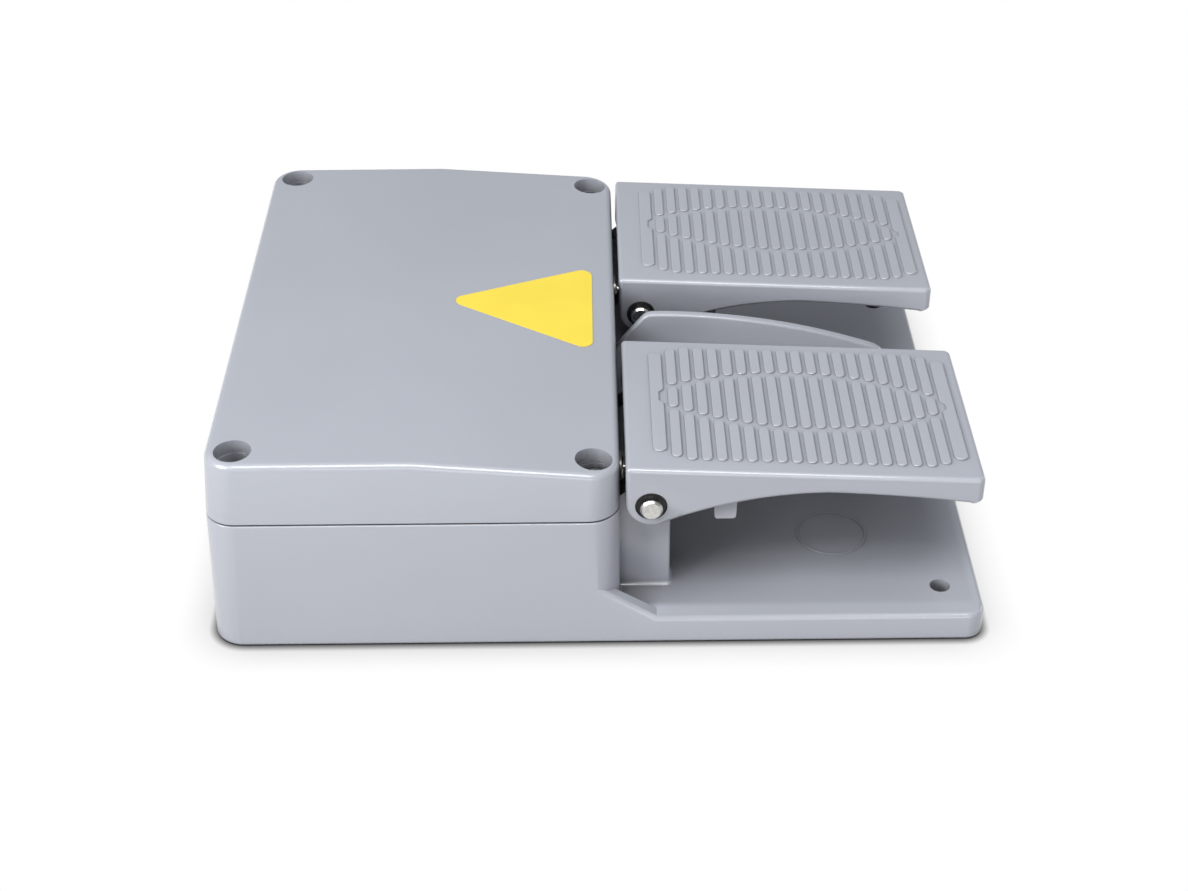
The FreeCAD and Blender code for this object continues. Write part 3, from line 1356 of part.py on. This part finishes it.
def switch_screws(side, center_y):
    """Two long screws down through the switch into the plate."""
    return group(side + "_switch_screw_set", [
        pan_screw(f"{side}_{end}_switch_screw", switch_screw_x, center_y + offset, switch_top_z,
                  switch_screw_radius, switch_thickness + switch_plate_thickness + switch_screw_tail)
        for end, offset in (("low", -0.5 * switch_screw_spacing), ("high", 0.5 * switch_screw_spacing))
    ])


def switch_plate():
    """Sheet steel plate on four bosses, which carries both switches."""
    low_x = plate_boss_rear_x - plate_boss_radius
    high_x = plate_boss_front_x + plate_boss_radius
    half = plate_boss_y + plate_boss_radius
    blank = box("switch_plate_blank", low_x, -half, switch_plate_z, high_x - low_x, 2 * half, switch_plate_thickness)
    tools = []
    for side, center_y in PEDALS:
        for end, offset in (("low", -0.5 * switch_screw_spacing), ("high", 0.5 * switch_screw_spacing)):
            tools.append(cylinder(f"{side}_{end}_plate_tap", "z", switch_screw_x, center_y + offset,
                                  switch_plate_z - past, switch_screw_radius + fit_gap,
                                  switch_plate_thickness + 2 * past))
        sign = -1 if side == "near" else 1
        for end, x in (("front", plate_boss_front_x), ("rear", plate_boss_rear_x)):
            tools.append(cylinder(f"{side}_{end}_plate_clear", "z", x, sign * plate_boss_y, switch_plate_z - past,
                                  plate_screw_radius + fit_gap, switch_plate_thickness + 2 * past))
    return cut("switch_plate_cut", blank, tools)


def plate_screws():
    """Four screws that hold the plate on its bosses."""
    return group("plate_screw_set", [
        pan_screw(f"{side}_{end}_plate_screw", x, y, switch_plate_z + switch_plate_thickness,
                  plate_screw_radius, plate_screw_length)
        for side, y in (("near", -plate_boss_y), ("far", plate_boss_y))
        for end, x in (("front", plate_boss_front_x), ("rear", plate_boss_rear_x))
    ])


def earth_washer():
    """Brass washer under the head of the earth screw."""
    washer_z = floor_height + earth_boss_height
    return turned("earth_washer_turned", [
        (0, earth_screw_radius + fit_gap),
        (earth_washer_thickness, earth_screw_radius + fit_gap),
        (earth_washer_thickness, earth_washer_radius),
        (0, earth_washer_radius),
    ], "z", earth_x, earth_y, washer_z)


def write_parts():
    """Checks every object, and then writes each sub-part to its own file."""
    doc.recompute()
    for obj in doc.Objects:
        if "Invalid" in obj.State or "Error" in obj.State:
            raise RuntimeError(f"{obj.Label} failed: {obj.State}")
    for obj in subparts:
        if obj.Shape.isNull() or not obj.Shape.isValid():
            raise RuntimeError(f"{obj.Label} has no valid shape")
    os.makedirs("parts", exist_ok=True)
    for obj in subparts:
        obj.Shape.exportStep(f"parts/{obj.Label}.step")
        print(f"{obj.Label}: {len(obj.Shape.Solids)} solid, {obj.Shape.Volume / 1000:.2f} cm3")


for name, piece in base_pieces().items():
    subpart(piece, name)
subpart(lid_casting(), "lid_casting")
subpart(lid_gasket(), "lid_gasket")
subpart(lid_screws(), "lid_screws")
subpart(lid_label(), "lid_label")
subpart(switch_plate(), "switch_plate")
subpart(plate_screws(), "plate_screws")
subpart(earth_washer(), "earth_washer")
subpart(pan_screw("earth_screw_cut", earth_x, earth_y, floor_height + earth_boss_height + earth_washer_thickness,
                  earth_screw_radius, earth_screw_length - past), "earth_screw")
for side, center_y in PEDALS:
    subpart(pedal_casting(side, center_y), side + "_pedal")
    subpart(hinge_shaft(side, center_y), side + "_hinge_shaft")
    subpart(circlips(side, center_y), side + "_circlips")
    subpart(bushes(side, center_y), side + "_shaft_bushes")
    subpart(torsion_spring(side, center_y), side + "_torsion_spring")
    subpart(guide_bush(side, center_y), side + "_guide_bush")
    subpart(guide_nut(side, center_y), side + "_guide_nut")
    subpart(wiper_seal(side, center_y), side + "_wiper_seal")
    subpart(plunger(side, center_y), side + "_plunger")
    subpart(plunger_clip(side, center_y), side + "_plunger_clip")
    subpart(switch_case(side, center_y), side + "_switch_case")
    subpart(switch_cover(side, center_y), side + "_switch_cover")
    subpart(switch_button(side, center_y), side + "_switch_button")
    subpart(contact_blade(side, center_y), side + "_contact_blade")
    subpart(terminals(side, center_y), side + "_terminals")
    subpart(terminal_screws(side, center_y), side + "_terminal_screws")
    subpart(switch_screws(side, center_y), side + "_switch_screws")
write_parts()
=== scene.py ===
import bmesh
import bpy
import math
from mathutils import Matrix, Vector


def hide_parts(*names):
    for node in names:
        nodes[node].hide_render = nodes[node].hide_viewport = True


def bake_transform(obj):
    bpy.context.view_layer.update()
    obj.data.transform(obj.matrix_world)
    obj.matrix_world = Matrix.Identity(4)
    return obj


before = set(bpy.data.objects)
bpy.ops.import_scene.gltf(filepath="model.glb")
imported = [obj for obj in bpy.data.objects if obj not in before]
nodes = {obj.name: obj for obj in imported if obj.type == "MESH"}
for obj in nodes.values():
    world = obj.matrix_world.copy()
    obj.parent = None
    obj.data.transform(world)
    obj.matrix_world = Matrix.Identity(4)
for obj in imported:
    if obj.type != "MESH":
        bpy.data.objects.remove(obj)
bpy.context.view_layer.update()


# Base casting: housing box, floor plate, hinge posts and middle rib in one piece of die-cast aluminium,
# finished in a satin grey-blue powder coat, which keeps a faint orange peel and softens every edge.
# Painted shade darkens the coat's colour where walls, pedals and rib shelter it, far more under the near pedal
# than the far one, and in the narrow lines round the tread bars.
def dress(node, material, corner=35):
    """Gives a piece its finish, and shades it smooth up to its corners."""
    piece = nodes[node]
    piece.data.materials.clear()
    piece.data.materials.append(material)
    piece.data.polygons.foreach_set("use_smooth", [True] * len(piece.data.polygons))
    weld = piece.modifiers.new("join_facets", "WELD")
    weld.merge_threshold = 1e-6
    split = piece.modifiers.new("keep_corners", "EDGE_SPLIT")
    split.split_angle = math.radians(corner)
    return piece


class Finish:
    """A surface finish, laid out as shader nodes that read the piece's own coordinates in metres."""

    def __init__(self, name, color, roughness, metallic=0.0, ior=1.5):
        self.material = bpy.data.materials.new(name)
        self.material.use_nodes = True
        self.tree = self.material.node_tree
        self.surface = self.tree.nodes["Principled BSDF"]
        self.set(**{"Base Color": (*color, 1), "Roughness": roughness, "Metallic": metallic, "IOR": ior})
        self.place = self.tree.nodes.new("ShaderNodeTexCoord").outputs["Object"]
        self.normal = None

    def set(self, **values):
        for socket, value in values.items():
            self.surface.inputs[socket].default_value = value

    def node(self, kind, inputs, **settings):
        made = self.tree.nodes.new("ShaderNode" + kind)
        for name, value in settings.items():
            setattr(made, name, value)
        for socket, value in inputs.items():
            if isinstance(value, bpy.types.NodeSocket):
                self.tree.links.new(value, made.inputs[socket])
            else:
                made.inputs[socket].default_value = value
        return made

    def noise(self, scale, detail=2.0, stretch=(1, 1, 1)):
        turned = self.node("Mapping", {"Vector": self.place, "Scale": stretch}).outputs["Vector"]
        return self.node("TexNoise", {"Vector": turned, "Scale": scale, "Detail": detail}).outputs["Fac"]

    def ramp(self, amount, low, high, start=0.35, end=0.65):
        made = self.node("ValToRGB", {"Fac": amount})
        for stop, place, value in zip(made.color_ramp.elements, (start, end), (low, high)):
            stop.position = place
            stop.color = (*value, 1) if isinstance(value, tuple) else (value, value, value, 1)
        return made.outputs["Color"]

    def color(self, socket):
        self.tree.links.new(socket, self.surface.inputs["Base Color"])

    def math(self, operation, *amounts):
        return self.node("Math", dict(enumerate(amounts)), operation=operation).outputs[0]

    def between(self, amount, start, end):
        inputs = {"Value": amount, "From Min": start, "From Max": end}
        return self.node("MapRange", inputs).outputs["Result"]

    def blend(self, share, low, high):
        return self.node("Mix", {0: share, 2: low, 3: high}).outputs[0]

    def openness(self, reach):
        return self.node("AmbientOcclusion", {"Distance": reach}, samples=2).outputs["AO"]

    def roughness(self, socket):
        self.tree.links.new(socket, self.surface.inputs["Roughness"])

    def bump(self, height, depth, strength=1.0):
        inputs = {"Height": height, "Distance": depth, "Strength": strength}
        if self.normal:
            inputs["Normal"] = self.normal
        self.normal = self.node("Bump", inputs).outputs["Normal"]
        self.tree.links.new(self.normal, self.surface.inputs["Normal"])


def shade(color, factor):
    return tuple(channel * factor for channel in color)


coat_color = (0.311, 0.325, 0.366)
powder_coat = Finish("grey_powder_coat", coat_color, 0.32, ior=1.5)
coat_place = powder_coat.node("SeparateXYZ", {0: powder_coat.place}).outputs
# Painted shade: inside the pedal well the coat's colour is darkened by how enclosed each point is.
side_shelter = (0.097, 0.0945)
rear_shelter = (-0.116, -0.112)
tip_shelter = (0.1205, 0.1185)
over_plate = (0.0102, 0.0115)
over_rib = (-0.01, 0.01)
within_sides = powder_coat.between(powder_coat.math("ABSOLUTE", coat_place["Y"]), *side_shelter)
within_ends = powder_coat.math("MULTIPLY", powder_coat.between(coat_place["X"], *rear_shelter),
                               powder_coat.between(coat_place["X"], *tip_shelter))
sheltered = powder_coat.math("MULTIPLY", within_sides, within_ends)
above_plate = powder_coat.between(coat_place["Z"], *over_plate)
far_half = powder_coat.between(coat_place["Y"], *over_rib)

# Painted shade: how far it looks and how dark it gets, much darker under the near pedal than under the far one.
wall_reach, roof_reach, crevice_reach = 0.035, 0.055, 0.003
darkest_wall_shade, lightest_wall_shade = -0.08, 0.36
near_plate_shade_depth, far_plate_shade_depth, crevice_shade_depth = 0.68, 0.05, 0.4
facing = powder_coat.node("SeparateXYZ", {0: powder_coat.node("NewGeometry", {}).outputs["Normal"]}).outputs
lying = powder_coat.math("ABSOLUTE", facing["Z"])
painted_standing_shade = powder_coat.between(powder_coat.openness(wall_reach), darkest_wall_shade, lightest_wall_shade)
painted_lying_shade = powder_coat.math("POWER", powder_coat.openness(roof_reach),
                              powder_coat.blend(far_half, near_plate_shade_depth, far_plate_shade_depth))
painted_hollow_shade = powder_coat.blend(lying, painted_standing_shade, painted_lying_shade)
# Painted shade: thin dark lines in narrow gaps, such as round the tread bars, from how close other surfaces stand.
painted_crevice_shade = powder_coat.math("POWER", powder_coat.openness(crevice_reach), crevice_shade_depth)
# The coat's colour is scaled by this painted shade.
painted_shade = powder_coat.math("MULTIPLY", powder_coat.blend(sheltered, 1.0, painted_hollow_shade),
                         powder_coat.blend(above_plate, 1.0, painted_crevice_shade))

mottle = powder_coat.ramp(powder_coat.noise(14, 4), shade(coat_color, 0.98), shade(coat_color, 1.015))
powder_coat.color(powder_coat.node("VectorMath", {0: mottle, "Scale": painted_shade}, operation="SCALE").outputs["Vector"])
powder_coat.roughness(powder_coat.ramp(powder_coat.noise(60, 5), 0.29, 0.36))
orange_peel, fine_grain = 0.00004, 0.000006
powder_coat.bump(powder_coat.noise(420, 3), orange_peel, 0.5)
powder_coat.bump(powder_coat.noise(2600, 2), fine_grain, 0.5)
powder_coat.set(**{"Coat Weight": 0.7, "Coat Roughness": 0.08})
coat_corner = 30
for node in nodes:
    if node.startswith("base_"):
        dress(node, powder_coat.material, coat_corner)


# Plain bearings: two sintered bronze bushes for each hinge, pressed into its posts.
# The turned finish shows fine streaks, and the sintered metal its open pores.
def metal(name, color, roughness, pores=0.0, grain=(1, 1, 1)):
    finish = Finish(name, color, roughness, metallic=1.0)
    streaks = finish.noise(900, 3, grain)
    finish.color(finish.ramp(streaks, shade(color, 0.86), shade(color, 1.06)))
    finish.roughness(finish.ramp(finish.noise(350, 4), roughness * 0.8, roughness * 1.3))
    finish.bump(streaks, 0.000012, 0.5)
    if pores:
        finish.bump(finish.noise(4200, 2), pores, 0.6)
    return finish.material


sides = ("near", "far")
bronze = metal("sintered_bronze", (0.26, 0.165, 0.085), 0.46, pores=0.00002)
for side in sides:
    dress(f"{side}_shaft_bushes", bronze)


# Pedals: die-cast aluminium in the base's coat, with tread bars cast on the deck.
# Two ears hang each pedal on its shaft, and a stop lug stands under the deck.
for side in sides:
    dress(f"{side}_pedal", powder_coat.material, coat_corner)

# Hinge shafts: turned steel, zinc plated, with the lathe's fine rings left on their ends.
# Each runs through both ears of its pedal and both posts, and turns with the pedal.
zinc = metal("bright_zinc", (0.62, 0.61, 0.585), 0.27, grain=(1, 0.06, 1))
for side in sides:
    dress(f"{side}_hinge_shaft", zinc)

# Circlips: stamped spring steel, oiled black, snapped into the grooves of the shafts.
# They sit in the counterbores of the ears and keep the shafts from sliding out.
black_steel = Finish("oiled_black_steel", (0.012, 0.012, 0.013), 0.4, metallic=0.35)
black_steel.roughness(black_steel.ramp(black_steel.noise(500, 3), 0.3, 0.52))
black_steel.bump(black_steel.noise(1500, 2), 0.00001, 0.5)
for side in sides:
    dress(f"{side}_circlips", black_steel.material)

# Return springs: drawn steel wire, wound round each shaft. One leg presses up under the pedal's deck and turns
# with it, the other leg stays against the housing wall, and the turns between them wind up.
spring_wire = metal("drawn_spring_wire", (0.5, 0.5, 0.5), 0.33)
leg_slant, spring_corner, facet_gap = 0.0022, 50, 1e-6
for side in sides:
    wound = bmesh.new()
    wound.from_mesh(nodes[f"{side}_torsion_spring"].data)
    bmesh.ops.remove_doubles(wound, verts=wound.verts, dist=facet_gap)
    for face in wound.faces:
        face.smooth = True
    for edge in wound.edges:
        edge.smooth = edge.calc_face_angle(0) < math.radians(spring_corner)
    spring_mesh = bpy.data.meshes.new(f"{side}_return_spring")
    wound.to_mesh(spring_mesh)
    wound.free()
    spring_mesh.materials.append(spring_wire)
    spring = bpy.data.objects.new(f"{side}_return_spring", spring_mesh)
    bpy.context.collection.objects.link(spring)
    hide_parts(f"{side}_torsion_spring")
    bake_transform(spring)

# Plungers: ground steel pins, which slide through the front wall in nickel-plated brass guides.
# A nut holds each guide, a rubber wiper seals its mouth, and a black clip stops the pin.
brass = metal("turned_brass", (0.7, 0.5, 0.2), 0.3, grain=(0.1, 1, 1))
nickel = metal("nickel_plated_brass", (0.4, 0.385, 0.35), 0.34, grain=(0.1, 1, 1))
rubber = Finish("black_rubber", (0.015, 0.015, 0.015), 0.7)
rubber.roughness(rubber.ramp(rubber.noise(700, 4), 0.6, 0.8))
rubber.bump(rubber.noise(2200, 3), 0.00002, 0.6)
for side in sides:
    dress(f"{side}_guide_bush", nickel)
    dress(f"{side}_guide_nut", nickel)
    dress(f"{side}_wiper_seal", rubber.material)
    dress(f"{side}_plunger", zinc)
    dress(f"{side}_plunger_clip", black_steel.material)


# Switches: moulded black cases and covers with a red button, standing behind the plungers.
# Each holds a rolled bronze blade and brass terminals, and is fixed with plated screws.
def moulding(name, color, roughness):
    finish = Finish(name, color, roughness)
    finish.color(finish.ramp(finish.noise(120, 4), shade(color, 0.85), shade(color, 1.15)))
    finish.roughness(finish.ramp(finish.noise(300, 3), roughness * 0.85, roughness * 1.15))
    finish.bump(finish.noise(3000, 2), 0.000012, 0.6)
    return finish.material


black_moulding = moulding("black_moulding", (0.022, 0.022, 0.024), 0.45)
red_moulding = moulding("red_moulding", (0.5, 0.02, 0.015), 0.3)
blade_bronze = metal("rolled_bronze", (0.62, 0.37, 0.2), 0.25, grain=(1, 0.05, 1))
for side in sides:
    dress(f"{side}_switch_case", black_moulding)
    dress(f"{side}_switch_cover", black_moulding)
    dress(f"{side}_switch_button", red_moulding)
    dress(f"{side}_contact_blade", blade_bronze)
    dress(f"{side}_terminals", brass)
    dress(f"{side}_terminal_screws", zinc)
    dress(f"{side}_switch_screws", zinc)

# Switch plate: zinc-plated sheet steel that carries both switches inside the housing.
# Four plated screws hold it to bosses of the housing floor.
sheet_steel = metal("zinc_sheet", (0.58, 0.58, 0.57), 0.34, grain=(0.04, 1, 1))
dress("switch_plate", sheet_steel)
dress("plate_screws", zinc)

# Earth terminal: brass screw and washer, turned and left bare,
# screwed into a boss of the housing floor.
dress("earth_screw", brass)
dress("earth_washer", brass)

# Gasket: black rubber cord, square in section, laid in the groove of the rim.
# It carries the lid, and leaves the narrow joint that shows round the housing.
dress("lid_gasket", rubber.material)

# Lid: die-cast tray with a kinked roof and four screw wells, in the base's coat.
# It stands on the gasket, over the rim of the housing.
dress("lid_casting", powder_coat.material, coat_corner)

# Lid screws: zinc-plated steel with a hexagon socket, deep in the lid's wells.
# They pull the lid down on the gasket.
dress("lid_screws", zinc)

# Label: blank yellow vinyl film, cut as a triangle with round corners.
# It is stuck on the roof, with its long point towards the rear.
yellow = (0.71, 0.555, 0.057)
vinyl = Finish("yellow_vinyl", yellow, 0.34)
vinyl.color(vinyl.ramp(vinyl.noise(40, 3), shade(yellow, 0.97), shade(yellow, 1.02)))
vinyl.roughness(vinyl.ramp(vinyl.noise(90, 4), 0.3, 0.4))
vinyl.bump(vinyl.noise(600, 3), 0.00002, 0.4)
dress("lid_label", vinyl.material)


# Floor: a plain sheet of paper under the switch, white to the camera and in the metal's reflections.
# To the camera its shadows are painted: a wide soft shadow and a thin dark line where the base stands on it, from
# how near the switch is.
floor_half_width, paper_grey = 6, 0.32
wide_shadow, contact_shadow_line = (0.014, 0.5), (0.003, 2.2)
floor_mesh = bpy.data.meshes.new("studio_floor")
sheet = bmesh.new()
bmesh.ops.create_grid(sheet, x_segments=1, y_segments=1, size=floor_half_width)
sheet.to_mesh(floor_mesh)
sheet.free()
floor = bpy.data.objects.new("studio_floor", floor_mesh)
bpy.context.scene.collection.objects.link(floor)
paper = bpy.data.materials.new("white_paper")
paper.use_nodes = True
paper_nodes = paper.node_tree.nodes
paper_links = paper.node_tree.links
paper_surface = paper_nodes["Principled BSDF"]
paper_surface.inputs["Base Color"].default_value = (paper_grey, paper_grey, paper_grey, 1)
paper_surface.inputs["Roughness"].default_value = 0.9
paper_surface.inputs["Specular IOR Level"].default_value = 0.0
paper_white = paper_nodes.new("ShaderNodeEmission")
paper_shadow = paper_nodes.new("ShaderNodeMath")
paper_shadow.operation = "MULTIPLY"
# Painted shadow: the paper's glowing white is darkened by how near the base stands above it.
for index, (reach, depth) in enumerate((wide_shadow, contact_shadow_line)):
    nearness = paper_nodes.new("ShaderNodeAmbientOcclusion")
    nearness.inputs["Distance"].default_value = reach
    falloff = paper_nodes.new("ShaderNodeMath")
    falloff.operation = "POWER"
    falloff.inputs[1].default_value = depth
    paper_links.new(nearness.outputs["AO"], falloff.inputs[0])
    paper_links.new(falloff.outputs[0], paper_shadow.inputs[index])
paper_path = paper_nodes.new("ShaderNodeLightPath")
paper_mirrored = paper_nodes.new("ShaderNodeMath")
paper_mirrored.operation = "MAXIMUM"
paper_seen = paper_nodes.new("ShaderNodeMath")
paper_seen.operation = "MAXIMUM"
paper_look = paper_nodes.new("ShaderNodeMixShader")
paper_links.new(paper_shadow.outputs[0], paper_white.inputs["Color"])
paper_links.new(paper_path.outputs["Is Glossy Ray"], paper_mirrored.inputs[0])
paper_links.new(paper_path.outputs["Is Transmission Ray"], paper_mirrored.inputs[1])
paper_links.new(paper_path.outputs["Is Camera Ray"], paper_seen.inputs[0])
paper_links.new(paper_mirrored.outputs[0], paper_seen.inputs[1])
paper_links.new(paper_seen.outputs[0], paper_look.inputs[0])
paper_links.new(paper_surface.outputs[0], paper_look.inputs[1])
paper_links.new(paper_white.outputs[0], paper_look.inputs[2])
paper_links.new(paper_look.outputs[0], paper_nodes["Material Output"].inputs["Surface"])
floor_mesh.materials.append(paper)

# Light: soft boxes above, at the front left, low at the front and at the right, in an even pale surround.
# The surround is white to the camera, so that the floor's far edge doesn't show.
surround_color, surround_strength = (0.9, 0.94, 1, 1), 0.38
lamp_color = (1, 0.99, 0.97)
soft_boxes = (
    ("overhead_soft_box", (0.0, -0.7, 1.32), 0.9, 0.6, 15.6),
    ("front_left_soft_box", (-1.1, -0.75, 0.93), 0.8, 0.8, 26),
    ("low_front_soft_box", (0.3, -1.8, 0.35), 1.4, 0.5, 6.5),
    ("right_soft_box", (1.35, 0.5, 0.3), 0.8, 0.4, 2.5),
)
world = bpy.data.worlds.new("studio_surround")
world.use_nodes = True
surround = world.node_tree.nodes
surround["Background"].inputs["Color"].default_value = surround_color
surround["Background"].inputs["Strength"].default_value = surround_strength
white_backdrop = surround.new("ShaderNodeBackground")
white_backdrop.inputs["Color"].default_value = (1, 1, 1, 1)
backdrop_path = surround.new("ShaderNodeLightPath")
backdrop_look = surround.new("ShaderNodeMixShader")
world.node_tree.links.new(backdrop_path.outputs["Is Camera Ray"], backdrop_look.inputs[0])
world.node_tree.links.new(surround["Background"].outputs[0], backdrop_look.inputs[1])
world.node_tree.links.new(white_backdrop.outputs[0], backdrop_look.inputs[2])
world.node_tree.links.new(backdrop_look.outputs[0], surround["World Output"].inputs["Surface"])
bpy.context.scene.world = world
for name, place, width, height, power in soft_boxes:
    lamp = bpy.data.lights.new(name, "AREA")
    lamp.shape = "RECTANGLE"
    lamp.size = width
    lamp.size_y = height
    lamp.energy = power
    lamp.color = lamp_color
    soft_box = bpy.data.objects.new(name, lamp)
    soft_box.location = place
    soft_box.rotation_euler = (-Vector(place)).to_track_quat("-Z", "Y").to_euler()
    bpy.context.scene.collection.objects.link(soft_box)

# Camera: the photograph's viewpoint, from its fitted place and directions.
# The focal length is for a frame 36 mm wide.
camera_place = (-0.003756, -0.58754, 0.41636)
focal_length, frame_width, nearest_seen = 60.637, 36, 0.01
right = Vector((0.9999461, -0.00900128, -0.00517475))
down = Vector((-0.00940458, -0.57404527, -0.81876956))
forward = Vector((0.00439944, 0.81877409, -0.57409898))
lens = bpy.data.cameras.new("photo_camera")
lens.sensor_width = frame_width
lens.lens = focal_length
lens.clip_start = nearest_seen
camera = bpy.data.objects.new("photo_camera", lens)
turned = Matrix((right, -down, -forward)).transposed().to_4x4()
camera.matrix_world = Matrix.Translation(camera_place) @ turned
bpy.context.scene.collection.objects.link(camera)
bpy.context.scene.camera = camera
bpy.context.scene.view_settings.view_transform = "Standard"
